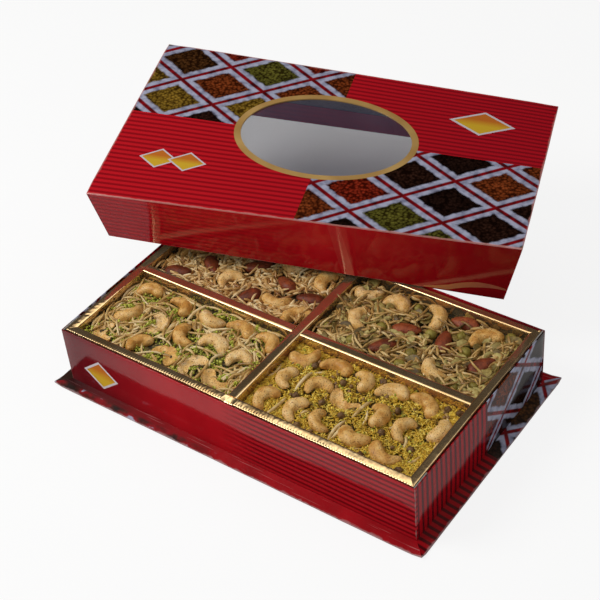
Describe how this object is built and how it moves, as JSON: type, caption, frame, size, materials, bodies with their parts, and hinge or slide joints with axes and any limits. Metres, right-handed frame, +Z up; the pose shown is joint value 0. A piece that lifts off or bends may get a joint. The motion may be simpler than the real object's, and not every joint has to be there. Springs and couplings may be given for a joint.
{
  "type": "box of snack mix",
  "caption": "Red folded-board gift box with a flat brim, a gold divided tray of snack mix and a tapered lid with an oval clear window, taken off and resting on the rim.",
  "frame": {"origin": "on the ground under the middle of the base, at the middle of the bottom board's underside", "axes": "+Z up, +X along the length of the base to its right, +Y to its back, where the lid rests"},
  "size_m": [0.3929, 0.3659, 0.1199],
  "materials": {
    "base_red": "gloss",
    "grey_board": "matte",
    "gold_foil": "gloss",
    "green_mix": "matte",
    "yellow_mix": "matte",
    "stick_mix": "matte",
    "flake_mix": "matte",
    "cashew": "satin",
    "almond": "matte",
    "pea": "matte",
    "peppercorn": "matte",
    "potato_stick": "matte",
    "lid_red": "gloss",
    "hem_red": "satin",
    "clear_film": "gloss"
  },
  "bodies": {
    "base": {"front_wall": "base_red", "back_wall": "base_red", "left_wall": "base_red", "right_wall": "base_red", "front_brim": "base_red", "back_brim": "base_red", "left_brim": "base_red", "right_brim": "base_red", "bottom_board": "grey_board", "base_corner_tabs": "grey_board"},
    "tray": {"tray_floor": "gold_foil", "front_ledge": "gold_foil", "back_ledge": "gold_foil", "left_ledge": "gold_foil", "right_ledge": "gold_foil", "cross_divider": "gold_foil", "long_divider_left": "gold_foil", "long_divider_right": "gold_foil", "green_mix": "green_mix", "yellow_mix": "yellow_mix", "stick_mix": "stick_mix", "flake_mix": "flake_mix", "green_mix_cashews": "cashew", "yellow_mix_cashews": "cashew", "stick_mix_cashews": "cashew", "flake_mix_cashews": "cashew", "stick_mix_almonds": "almond", "flake_mix_almonds": "almond", "flake_mix_peas": "pea", "yellow_mix_peppercorns": "peppercorn", "green_mix_sticks": "potato_stick", "yellow_mix_sticks": "potato_stick", "stick_mix_sticks": "potato_stick", "flake_mix_sticks": "potato_stick"},
    "lid": {"lid_top_panel": "lid_red", "lid_front_wall": "lid_red", "lid_back_wall": "lid_red", "lid_left_wall": "lid_red", "lid_right_wall": "lid_red", "lid_front_hem": "hem_red", "lid_back_hem": "hem_red", "lid_left_hem": "hem_red", "lid_right_hem": "hem_red", "lid_corner_tabs": "grey_board", "window_film": "clear_film"}
  },
  "joints": [
    {"name": "tray_lift", "type": "slide", "parent": "base", "child": "tray", "axis": [0, 0, 1], "range_m": [0, 0.06]},
    {"name": "lid_lift", "type": "slide", "parent": "tray", "child": "lid", "axis": [0, 0, 1], "range_m": [0, 0.12]}
  ]
}
